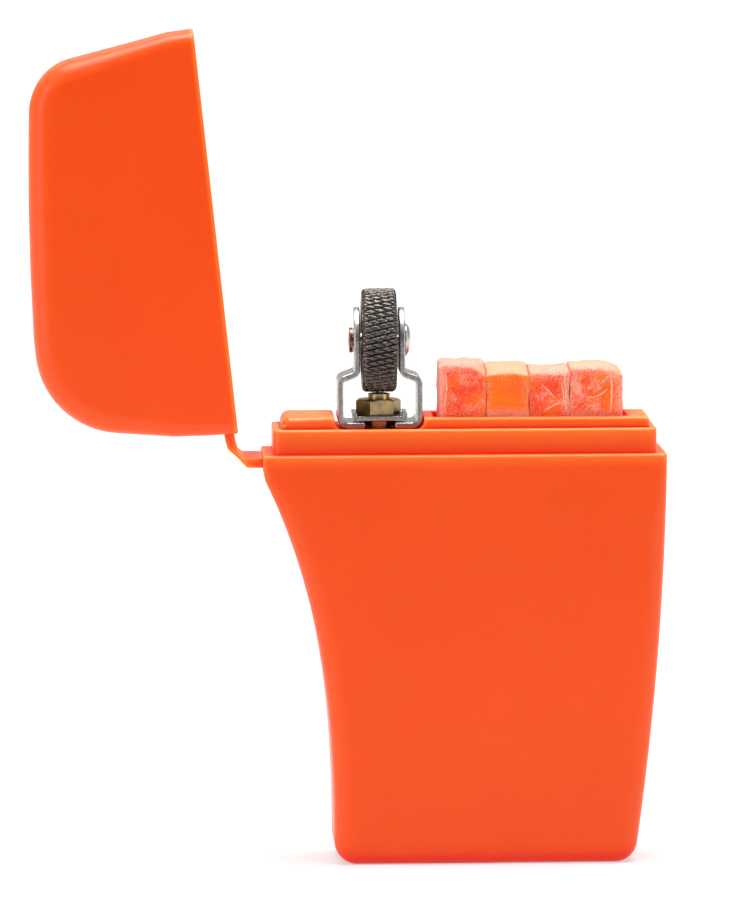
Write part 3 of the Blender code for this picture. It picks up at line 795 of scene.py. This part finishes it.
def lid_outline(reach):
    """Anticlockwise XZ outline of the closed lid about its hinge corner, running reach below the mouth."""
    free_side = [(56.35, -reach, 0.0), (56.35, 0.0, 0.0), (56.2, 3.8, 0.0), (55.35, 8.9, 0.0)]
    free_corner = [(54.1, 17.0, 0.0), (53.1, 23.15, 7.5)]
    crown = [(42.0, 24.5, 0.0), (33.7, 25.4, 0.0), (25.3, 26.1, 0.0), (16.5, 26.65, 0.0)]
    hinge_corner = [(3.9, 26.75, 12.0), (1.85, 15.0, 0.0)]
    hinge_side = [(0.8, 9.0, 0.0), (0.4, 4.0, 0.0), (0.22, 0.0, 0.0), (0.22, -reach, 0.0)]
    return rounded(free_side + free_corner + crown + hinge_corner + hinge_side)


def make_lid(materials):
    """The lid is drawn closed, hollowed and then turned open about the hinge."""
    reach = 6.0
    start = HINGE + Vector((LID_START, 0.0, LID_MOUTH))
    corner = Vector((start.x, start.z))
    outline = spaced([point + corner for point in lid_outline(reach)], 3.0)
    centre = corner + Vector((28.0, 10.0))
    fillets = [eased(MOUTH_FILLET, LID_FILLET, (p.y - corner.y) / LID_RUN) for p in outline]
    outline = inset(outline, [LID_PULL * (LID_FILLET - fillet) for fillet in fillets])
    shape = shell(outline, HALF_DEPTH, fillets, centre, start.z + MOUTH_EDGE, keep_above=True)
    ring, edge = open_ring(shape)
    radii = [MOUTH_EDGE] * len(ring)
    add_loft(shape, rounded_rows(edge, start.z, radii, -1.0)[1:], False, ring)
    inner = inset(outline, [LID_WALL] * len(outline))
    inner_fillets = [max(LEAST_FILLET, fillet - LID_WALL) for fillet in fillets]
    room = shell(inner, HALF_DEPTH - LID_WALL, inner_fillets, centre, start.z, keep_above=True)
    merged(shape, room)
    bmesh.ops.bridge_loops(shape, edges=[edge for edge in shape.edges if edge.is_boundary])
    bmesh.ops.recalc_face_normals(shape, faces=shape.faces)
    opened = Matrix.Rotation(math.radians(-LID_OPEN), 4, "Y")
    at = Matrix.Translation(HINGE) @ opened @ Matrix.Translation(-HINGE)
    made = piece("lid_cover", shape, materials["plastic"], at)
    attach(made, "lid")
    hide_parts("lid_shell")


def make_hinge_strap(materials):
    """One moulded strap from the case to the lid, drawn from the hinge axis and thinnest where it bends."""
    lower = [(3.4, -1.96, 0.0), (0.78, -1.92, 0.5), (-0.75, -0.31, 0.0), (-1.84, 0.62, 0.5)]
    lower += [(-2.16, 1.65, 0.0), (-2.46, 3.3, 0.0)]
    upper = [(-0.98, 3.3, 0.0), (-0.84, 1.95, 0.0), (-0.33, -0.12, 0.55), (0.32, -0.6, 0.5)]
    upper += [(1.6, -0.62, 0.0), (3.4, -0.62, 0.0)]
    outline = spaced(rounded(lower + upper), 0.25)
    outline = [point + Vector((HINGE.x, HINGE.z)) for point in outline]
    shape = softened(prism_y(outline, STRAP_HALF), 0.12, 2, 60.0, flat=False)
    made = piece("hinge_strap", shape, materials["plastic"])
    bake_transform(made)
    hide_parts("hinge_film")


# ---- insert ----


def make_deck(materials):
    """The insert: a block left of the striker's slot, a deck right of it and the well of the sticks below."""
    low = SHELF_Z + 0.15
    ledge = NECK_LEFT + NECK_WALL - 0.07
    left = ledge + LEDGE_STEP
    right = NECK_RIGHT - NECK_WALL - PLAY
    section = [(ledge, low, 0.0), (right, low, 0.0)]
    section += [(right, DECK_RIGHT_TOP, 0.0), (SLOT_RIGHT, DECK_RIGHT_TOP, 0.0)]
    section += [(SLOT_RIGHT, SLOT_FLOOR, 1.4), (SLOT_LEFT, SLOT_FLOOR, 1.4)]
    section += [(SLOT_LEFT, DECK_LEFT_TOP, 0.0), (left, DECK_LEFT_TOP, 1.25)]
    section += [(left, NECK_TOP - PLAY, 0.0), (ledge, NECK_TOP - PLAY, 0.0)]
    inside = (WELL_LEFT, WELL_RIGHT, WELL_HALF_DEPTH)
    outside = (WELL_LEFT - WELL_WALL, WELL_RIGHT + WELL_WALL, WELL_HALF_DEPTH + WELL_WALL)
    well = prism_z(block_outline(*outside, 1.2), WELL_FLOOR - WELL_WALL, low + 1.0)
    opening = prism_z(block_outline(*inside, 0.6), WELL_FLOOR, DECK_HIGH.z + 4.0)
    hole = prism_z([p + Vector((AXLE.x, 0.0)) for p in circle(TUBE_HOLE, 48)], low - 1.0, DECK_HIGH.z)
    steps = [("UNION", well), ("DIFFERENCE", opening), ("DIFFERENCE", hole)]
    half_depth = NECK_HALF_DEPTH - NECK_WALL - PLAY
    bar = flattened(prism_y(rounded(section), half_depth))
    block, run = [], []
    for edge in bar.edges:
        ends = [vert.co for vert in edge.verts]
        if all(abs(abs(p.y) - half_depth) < 0.01 and p.z > SLOT_FLOOR + 0.3 for p in ends):
            if all(p.x < SLOT_LEFT + 0.01 for p in ends) and abs(ends[0].x - ends[1].x) > 0.01:
                block.append(edge)
            elif all(p.x > SLOT_RIGHT - 0.01 for p in ends) and abs(ends[0].x - ends[1].x) > 1.0:
                run.append(edge)
    bevelled(bar, block, BLOCK_ROUND, 5)
    bevelled(bar, run, DECK_ROUND, 5)
    shape = softened(combined(bar, steps), 0.22, 3, 50.0)
    made = piece("deck_insert", shape, materials["deck"])
    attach(made, "case")
    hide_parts("insert_deck")


# ---- tinder sticks ----


# Each stick: its left and right side, how much higher its top is than the plain bar's, and the fall of its
# top towards the front, towards the left and towards the right, and at the cut of its front right corner.
STICKS = (
    (-6.56, 0.0, 0.2, 0.3, 0.0, 0.12, 2.0),
    (0.0, 5.94, 0.25, 0.95, 0.2, 0.2, 0.0),
    (5.94, 11.57, 0.3, 0.45, -0.2, -0.45, 0.0),
    (11.57, 19.02, 0.25, 0.35, 0.15, 0.9, 0.0),
)
STICK_CORNER = 0.7
STICK_SEAM = 0.18  # corners that touch the next stick
STICK_FOOT_ROUND = 0.4
STICK_TOP_ROUND = 0.75
STICK_TOP_REACH = 3.0  # how far below the top the slump begins
SEAM_DRAW = 0.4  # share of the top's rounding that a side next to another stick takes


def top_fall(number, across, front):
    """How far a stick's top has sunk, for across from -1 to 1 and front from 0 at the back to 1."""
    to_front, to_left, to_right, cut = STICKS[number - 1][3:]
    side = to_right if across > 0.0 else to_left
    fall = to_front * front**1.6 + side * abs(across) ** 2.4
    return fall + cut * max(0.0, across - 0.25) * max(0.0, front - 0.1)


def make_stick(number):
    """A bar of pressed fibre whose wax has set a little unevenly, with its own slump at the top."""
    node = f"tinder_stick_{number}"
    low, high = box_mm(node)
    left, right, extra = STICKS[number - 1][:3]
    middle = Vector(((left + right) / 2.0, 0.0, 0.0))
    half_x = (right - left) / 2.0
    half_y = high.y
    levels = [low.z, low.z + 0.15, low.z + 0.4]
    levels += [low.z + 0.4 + 0.4 * step for step in range(1, int((high.z - low.z - 2.0) / 0.4))]
    rings = [(z, max(0.0, STICK_FOOT_ROUND - (z - low.z)), 1.0) for z in levels]
    for step in range(11):
        turn = math.radians(9.0 * step)
        rise = STICK_TOP_ROUND * (1.0 - math.sin(turn))
        rings.append((high.z - rise, STICK_TOP_ROUND * (1.0 - math.cos(turn)), 1.0))
    rings += [(high.z, STICK_TOP_ROUND, share) for share in (0.85, 0.68, 0.5, 0.32, 0.15)]
    outer_left = STICK_CORNER if number == 1 else STICK_SEAM
    outer_right = STICK_CORNER if number == len(STICKS) else STICK_SEAM
    corners = [(-half_x, -half_y, outer_left), (half_x, -half_y, outer_right)]
    corners += [(half_x, half_y, outer_right), (-half_x, half_y, outer_left)]
    outline = spaced(rounded(corners), 0.35)
    shift = Vector((0.0, 0.0, 31.7 * number))
    rows = []
    for z, draw, share in rings:
        row = []
        for point in outline:
            corner = outer_left if point.x < 0.0 else outer_right
            drawn = draw * (SEAM_DRAW if corner == STICK_SEAM else 1.0)
            x = point.x * (1.0 - drawn / half_x) * share
            y = point.y * (1.0 - draw / half_y) * share
            spot = Vector((x, y, z))
            lump = noise.noise(spot * 0.45 + shift) * 0.13 + noise.noise(spot * 1.3 + shift) * 0.06
            lump += noise.noise(spot * 3.1 + shift) * 0.03
            outward = Vector((x / half_x, y / half_y, 0.0)) * (lump - 0.01)
            reach = max(0.0, (z - high.z + STICK_TOP_REACH) / STICK_TOP_REACH)
            fall = top_fall(number, x / half_x, max(0.0, 0.5 - 0.5 * y / half_y))
            fall += noise.noise(spot * 0.7 + shift * 2.0) * 0.12 - extra
            row.append(spot + outward + middle - UP * fall * reach)
        rows.append(row)
    rows.append([sum(rows[-1], Vector()) / len(outline)])
    wax = wax_fibre(number, left, right, high.z + extra)
    made = piece(f"stick_{number}", loft(rows), wax, weighted=False)
    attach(made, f"stick_{number}")
    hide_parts(node)
    return made


# Each loose fibre: the stick it lies on, its radius and the X and Z of the places that it passes.
THREADS = (
    (3, 0.09, ((7.7, 66.4), (8.8, 65.4), (9.9, 64.3))),
    (3, 0.1, ((8.05, 62.8), (9.1, 63.5), (10.1, 63.9), (10.9, 63.95))),
    (3, 0.13, ((10.95, 68.2), (10.8, 67.1), (11.1, 65.7), (11.0, 64.0), (11.2, 62.2))),
    (3, 0.07, ((10.4, 67.6), (10.5, 66.2), (10.75, 64.9), (10.7, 63.2))),
    (4, 0.09, ((13.9, 64.8), (14.8, 64.6), (16.0, 65.2), (17.0, 65.9))),
    (4, 0.07, ((13.0, 62.4), (14.1, 63.3), (15.3, 63.8))),
    (4, 0.12, ((17.3, 67.9), (17.45, 66.2), (17.3, 64.2), (17.3, 62.2))),
    (4, 0.07, ((15.9, 66.6), (16.8, 67.4), (17.5, 68.0))),
    (1, 0.1, ((-5.75, 68.8), (-5.5, 66.2), (-5.7, 64.2), (-5.8, 62.2))),
    (1, 0.06, ((-6.2, 68.4), (-5.9, 66.9), (-6.2, 65.0))),
)


def make_threads(sticks, materials):
    """Loose fibres that lie in the wax on the front faces of the sticks."""
    for index, (number, radius, path) in enumerate(THREADS):
        front = box_mm(f"tinder_stick_{number}")[0].y
        stick = sticks[number - 1]
        line = []
        for (x0, z0), (x1, z1) in zip(path, path[1:]):
            for step in range(6):
                share = step / 6.0
                spot = Vector((x0 + (x1 - x0) * share, front - 3.0, z0 + (z1 - z0) * share))
                spot.x += noise.noise(spot * 1.7 + UP * index) * 0.12
                spot.z += noise.noise(spot * 1.3 - UP * index) * 0.12
                hit, place, _, _ = stick.ray_cast(spot * MM, Vector((0.0, 1.0, 0.0)))
                if hit:
                    line.append(place / MM)
        rings = []
        for step, place in enumerate(line):
            taper = radius * min(1.0, 0.35 + 0.2 * min(step, len(line) - 1 - step))
            across = (line[min(step + 1, len(line) - 1)] - line[max(step - 1, 0)]).normalized()
            side = across.cross(Vector((0.0, 1.0, 0.0))).normalized()
            ring = [side * p.x + Vector((0.0, 0.45 * p.y, 0.0)) for p in circle(taper, 8)]
            rings.append([place + offset for offset in ring])
        name = f"fibre_{index + 1}"
        made = piece(name, loft(rings), materials["thread"], weighted=False)
        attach(made, f"stick_{number}")


# ---- striker ----


def make_bracket(materials):
    """A strap bent up at both ends, stepped in at its shoulders and rounded about the axle."""
    right = [(LEG_X, BASE_Z, 1.1), (LEG_X, SHOULDER_LOW, 0.85)]
    right += [(ARM_X, SHOULDER_HIGH, 0.85), (ARM_X, AXLE.z + ARM_HALF + 0.5, 0.0)]
    left = [(-x, z, radius) for x, z, radius in reversed(right)]
    strap = prism_y(ribbon(left + right, STEEL), ARM_HALF + 1.0)
    face = [p + Vector((0.0, AXLE.z)) for p in circle(ARM_HALF, 96)[:49]]
    face += [Vector((-ARM_HALF, BASE_Z - 4.0)), Vector((ARM_HALF, BASE_Z - 4.0))]
    hole = [p + Vector((0.0, AXLE.z)) for p in circle(0.9, 48)]
    notch = circle(2.1, 48)[:25]
    notch += [Vector((-2.1, -ARM_HALF - 4.0)), Vector((2.1, -ARM_HALF - 4.0))]
    reach = LEG_X + 4.0
    steps = [
        ("INTERSECT", prism_x(face, -reach, reach)),
        ("DIFFERENCE", prism_x(hole, -reach, reach)),
        ("DIFFERENCE", prism_z(notch, BASE_Z - STEEL, BASE_Z + STEEL)),
    ]
    shape = softened(combined(strap, steps), 0.2, 4, 50.0)
    made = piece("steel_bracket", shape, materials["steel"], STRIKER)
    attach(made, "case")
    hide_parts("wheel_bracket")


def groove(across, around, count, slope, radius, width):
    """How deep a point lies in a set of slanting V grooves, from 0 on the land to 1 at the bottom."""
    pitch = 2.0 * math.pi * radius / count
    phase = (around * radius - across * math.tan(math.radians(slope))) / pitch
    distance = abs(phase - round(phase)) * pitch
    return max(0.0, 1.0 - distance / width)


def cut_depth(x, angle, radius):
    """How far the wheel's rim lies below its full radius, from two crossed sets of cuts and from wear."""
    spot = Vector((x, math.cos(angle) * radius, math.sin(angle) * radius))
    worn = noise.noise(spot * 0.9)
    sway = noise.noise(spot * 0.6 + UP * 9.0) * 0.012
    first = groove(x, angle + sway, CUTS, CUT_SLANT, radius, 0.2 + 0.05 * worn)
    second = groove(x, angle - sway, CROSS_CUTS, CROSS_SLANT, radius, 0.17 - 0.06 * worn)
    chip = noise.noise(spot * 2.3) * 0.05 + noise.noise(spot * 6.0) * 0.03
    return max((0.26 + 0.05 * worn) * first, (0.17 - 0.07 * worn) * second) + 0.05 - chip


def make_wheel(materials):
    """Spark wheel about the X axis, with crossed cuts, rounded edges and a shallow dish in each face."""
    radius = WHEEL_HIGH.z - AXLE.z
    half = WHEEL_HIGH.x - AXLE.x
    edge = 0.67
    bore = 1.15
    dish = 0.18
    around = 528
    side = [(-half + 0.12, bore), (-half, bore + 0.12), (-half, 2.6), (-half + dish, 2.8)]
    side += [(-half + dish, 5.3), (-half, 5.5)]
    for step in range(7):
        turn = math.radians(15.0 * step)
        side.append((-half + edge * (1.0 - math.cos(turn)), radius - edge * (1.0 - math.sin(turn))))
    land = half - edge
    slices = 34
    rim = [(-land + 2.0 * land * step / slices, radius) for step in range(1, slices)]
    rings = []
    for x, r in side + rim + [(-x, r) for x, r in reversed(side)]:
        fade = min(1.0, (r - radius + edge) / edge * 1.6)
        ring = []
        for index in range(around):
            angle = 2.0 * math.pi * index / around
            cut = r - fade * cut_depth(x, angle, radius) if r > radius - edge + 0.01 else r
            ring.append((x, cut * math.sin(angle), cut * math.cos(angle)))
        rings.append(ring)
    at = Matrix.Translation(AXLE)
    made = piece("knurled_wheel", hoop(rings), materials["dark"], at, weighted=False)
    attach(made, "striker_wheel")
    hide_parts("spark_wheel")


def make_rivet(materials):
    """Axle rivet with a domed head at +X and a clinched, dished end at -X."""
    head = RIVET_HIGH.x - AXLE.x
    seat = ARM_X + STEEL / 2.0 + 0.1
    head_radius = RIVET_HIGH.z - AXLE.z
    clinch = 1.78
    plate = seat + 0.54
    profile = [(0.0, -plate + 0.14), (0.7, -plate + 0.12), (0.95, -plate - 0.04), (1.2, -plate)]
    profile += [(clinch - 0.06, -plate + 0.04), (clinch, -plate + 0.12), (clinch - 0.06, -seat)]
    profile += [(0.8, -seat), (0.8, seat), (head_radius - 0.1, seat)]
    for step in range(12):
        turn = math.radians(7.5 * step)
        dome = seat + 0.06 + (head - seat - 0.06) * math.sin(turn)
        profile.append((head_radius * math.cos(turn), dome))
    profile.append((0.0, head))
    at = Matrix.Translation(AXLE) @ Matrix.Rotation(math.pi / 2.0, 4, "Y")
    made = piece("pin_rivet", turned(profile), materials["rivet"], at)
    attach(made, "case")
    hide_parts("axle_rivet")


def make_washer(materials):
    """Square washer with its left and right edges bent up as tabs."""
    half = WASHER_HIGH.x - AXLE.x
    thick = 0.66
    side = half - thick / 2.0
    level = WASHER_LOW.z + thick / 2.0
    top = WASHER_HIGH.z
    line = [(-side, top, 0.0), (-side, level, 0.42), (side, level, 0.42), (side, top, 0.0)]
    hole = prism_z(circle(TUBE_HOLE, 48), WASHER_LOW.z - 1.0, top + 1.0)
    shape = combined(prism_y(ribbon(line, thick), WASHER_HIGH.y), [("DIFFERENCE", hole)])
    softened(shape, 0.12, 3, 50.0)
    made = piece("lock_washer", shape, materials["plated"], STRIKER)
    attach(made, "case")
    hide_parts("tab_washer")


def make_nut(materials):
    """Hex nut, chamfered at its top, that fills the gap between washer and bracket."""
    flats = 5.58
    corner = flats / math.sqrt(3.0)
    low = NUT_LOW.z - 0.12
    high = NUT_HIGH.z + 0.12
    cone = [(0.0, low - 1.0), (corner + 1.0, low - 1.0), (corner + 1.0, high - 1.0)]
    cone += [(corner - 0.5, high), (0.0, high)]
    hexagon = prism_z(circle(corner, 6, -111.0), low, high + 0.3)
    hole = prism_z(circle(1.62, 48), low - 1.0, high + 1.0)
    steps = [("INTERSECT", turned(cone, 96)), ("DIFFERENCE", hole)]
    shape = softened(combined(hexagon, steps), 0.1, 3, 28.0)
    at = Matrix.Translation((AXLE.x - 0.1, 0.0, 0.0))
    made = piece("hex_nut", shape, materials["brass"], at)
    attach(made, "case")
    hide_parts("tube_nut")


def make_tube(materials):
    """Brass tube with a turned lip at its mouth and a collar below the deck."""
    radius = 1.56
    bore = 1.2
    collar = 3.0
    low = TUBE_LOW.z
    high = TUBE_HIGH.z + 0.22
    foot = SHELF_Z - 1.9
    profile = [(bore, low), (radius - 0.1, low), (radius, low + 0.1), (radius, foot)]
    profile += [(collar - 0.15, foot), (collar, foot + 0.15), (collar, SHELF_Z - 0.1)]
    profile += [(collar - 0.1, SHELF_Z), (radius, SHELF_Z), (radius, high - 0.06), (radius - 0.06, high)]
    profile += [(bore + 0.05, high), (bore, high - 0.06)]
    made = piece("brass_tube", turned(profile), materials["brass"], STRIKER)
    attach(made, "case")
    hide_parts("flint_tube")


def make_spring(materials):
    """Compression spring with close end turns."""
    low, high = box_mm("flint_spring")
    wire = 0.17
    radius = (high.x - low.x) / 2.0 - wire
    turns = 10
    rings = []
    for step in range(24 * turns + 1):
        share = step / (24.0 * turns)
        angle = 2.0 * math.pi * turns * share
        outward = Vector((math.cos(angle), math.sin(angle), 0.0))
        rise = share - 0.03 * math.sin(4.0 * math.pi * share)
        centre = outward * radius + UP * (low.z + wire + (high.z - low.z - 2.0 * wire) * rise)
        rings.append([centre + outward * p.x + UP * p.y for p in circle(wire, 10)])
    spring = materials["spring"]
    made = piece("feed_spring", loft(rings), spring, STRIKER, weighted=False)
    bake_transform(made)
    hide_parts("flint_spring")


def finish_inner_nodes(materials):
    """The pieces inside keep their CAD shape and take a finished material."""
    finishes = {"flint": "flint", "spring_tip": "brass", "flint_screw": "brass", "wheel_bush": "steel"}
    for node, finish in finishes.items():
        item = frame["nodes"][node]
        item.data.materials.clear()
        item.data.materials.append(materials[finish])


# ---- stage ----


LEFT_POWER = 2.4
RIGHT_POWER = 1.3
TOP_POWER = 4.9
TOP_ANGLE = 50.0  # how wide the overhead light is, which sets how soft the shadows are
FRONT_GLOW = 0.17  # how bright the room is in front of the object, behind it and overhead
BACK_GLOW = 0.5
TOP_GLOW = 0.3
FLOOR_HALF = 4.0
FLOOR_FRONT = -0.4
FLOOR_BACK = 6.0
FLOOR_GLOW = 0.5
CAMERA_AIM = (-0.0157, -HALF_DEPTH * MM, 0.0579)
CAMERA_AZIMUTH = -1.8
CAMERA_ELEVATION = 4.86
CAMERA_ROLL = -0.25
CAMERA_DISTANCE = 1.085
CAMERA_LENS = 314.04


def make_floor():
    """A matt sheet that glows a little, so that it runs into the white behind it."""
    shape = bmesh.new()
    corners = [(-FLOOR_HALF, FLOOR_FRONT), (FLOOR_HALF, FLOOR_FRONT)]
    corners += [(FLOOR_HALF, FLOOR_BACK), (-FLOOR_HALF, FLOOR_BACK)]
    shape.faces.new([shape.verts.new((x, y, 0.0)) for x, y in corners])
    floor = scene_object(shape, "floor")
    paper = Shader("white_paper", Base_Color=(0.38, 0.38, 0.38, 1.0), Roughness=0.85, Specular_IOR_Level=0.05)
    paper.set("Emission Color", (1.0, 1.0, 1.0, 1.0))
    paper.set("Emission Strength", FLOOR_GLOW)
    floor.data.materials.append(paper.material)


def make_lights():
    """A soft box on either side and a wide light from above."""
    aim = Vector((-0.005, 0.0, 0.055))
    for name, side, power in (("left_box", -0.7, LEFT_POWER), ("right_box", 0.7, RIGHT_POWER)):
        lamp = bpy.data.lights.new(name, "AREA")
        lamp.shape = "RECTANGLE"
        lamp.size = 0.35
        lamp.size_y = 0.7
        lamp.energy = power
        box = linked(name, lamp)
        box.location = (side, -0.4, 0.3)
        box.rotation_euler = (aim - box.location).to_track_quat("-Z", "Y").to_euler()
    sky = bpy.data.lights.new("overhead", "SUN")
    sky.energy = TOP_POWER
    sky.angle = math.radians(TOP_ANGLE)
    linked("overhead", sky).rotation_euler = (math.radians(-4.0), 0.0, 0.0)


def make_world():
    """White for the camera. The object is lit by a room that is dim in front and bright overhead."""
    world = bpy.data.worlds.new("studio")
    bpy.context.scene.world = world
    world.use_nodes = True
    tree = world.node_tree
    place = add_node(tree, "TexCoord").outputs["Generated"]
    direction = add_node(tree, "SeparateXYZ", Vector=place)
    both = add_node(tree, "Math")
    both.operation = "ADD"
    glows = (("Y", -0.7, 0.5, FRONT_GLOW, BACK_GLOW), ("Z", 0.4, 0.75, 0.0, TOP_GLOW))
    for socket, (axis, low, high, start, end) in zip(both.inputs, glows):
        ramp = add_node(tree, "MapRange", From_Min=low, From_Max=high, To_Min=start, To_Max=end)
        ramp.interpolation_type = "SMOOTHSTEP"
        fill(tree, ramp.inputs["Value"], direction.outputs[axis])
        fill(tree, socket, ramp.outputs["Result"])
    white = (1.0, 1.0, 1.0, 1.0)
    room = tree.nodes["Background"]
    fill(tree, room.inputs["Color"], white)
    fill(tree, room.inputs["Strength"], both.outputs["Value"])
    seen = add_node(tree, "Background", Color=white)
    camera_ray = add_node(tree, "LightPath").outputs["Is Camera Ray"]
    mix = add_node(tree, "MixShader", Fac=camera_ray)
    fill(tree, mix.inputs[1], room.outputs["Background"])
    fill(tree, mix.inputs[2], seen.outputs["Background"])
    fill(tree, tree.nodes["World Output"].inputs["Surface"], mix.outputs["Shader"])


def make_camera():
    azimuth = math.radians(CAMERA_AZIMUTH)
    elevation = math.radians(CAMERA_ELEVATION)
    level = math.cos(elevation)
    back = Vector((math.sin(azimuth) * level, -math.cos(azimuth) * level, math.sin(elevation)))
    data = bpy.data.cameras.new("camera")
    data.sensor_width = 36.0
    data.lens = CAMERA_LENS
    data.clip_start = 0.01
    camera = linked("camera", data)
    camera.location = Vector(CAMERA_AIM) + back * CAMERA_DISTANCE
    tilt = Quaternion(UP, math.radians(CAMERA_ROLL))
    camera.rotation_euler = (back.to_track_quat("Z", "Y") @ tilt).to_euler()
    bpy.context.scene.camera = camera


def main():
    materials = make_materials()
    make_camera()
    for make in (make_case, make_lid, make_hinge_strap, make_deck):
        make(materials)
    sticks = [make_stick(number) for number in range(1, len(STICKS) + 1)]
    make_threads(sticks, materials)
    for make in (make_bracket, make_wheel, make_rivet, make_washer, make_nut, make_tube, make_spring):
        make(materials)
    finish_inner_nodes(materials)
    make_floor()
    make_lights()
    make_world()
    bpy.context.scene.view_settings.view_transform = "Standard"


main()
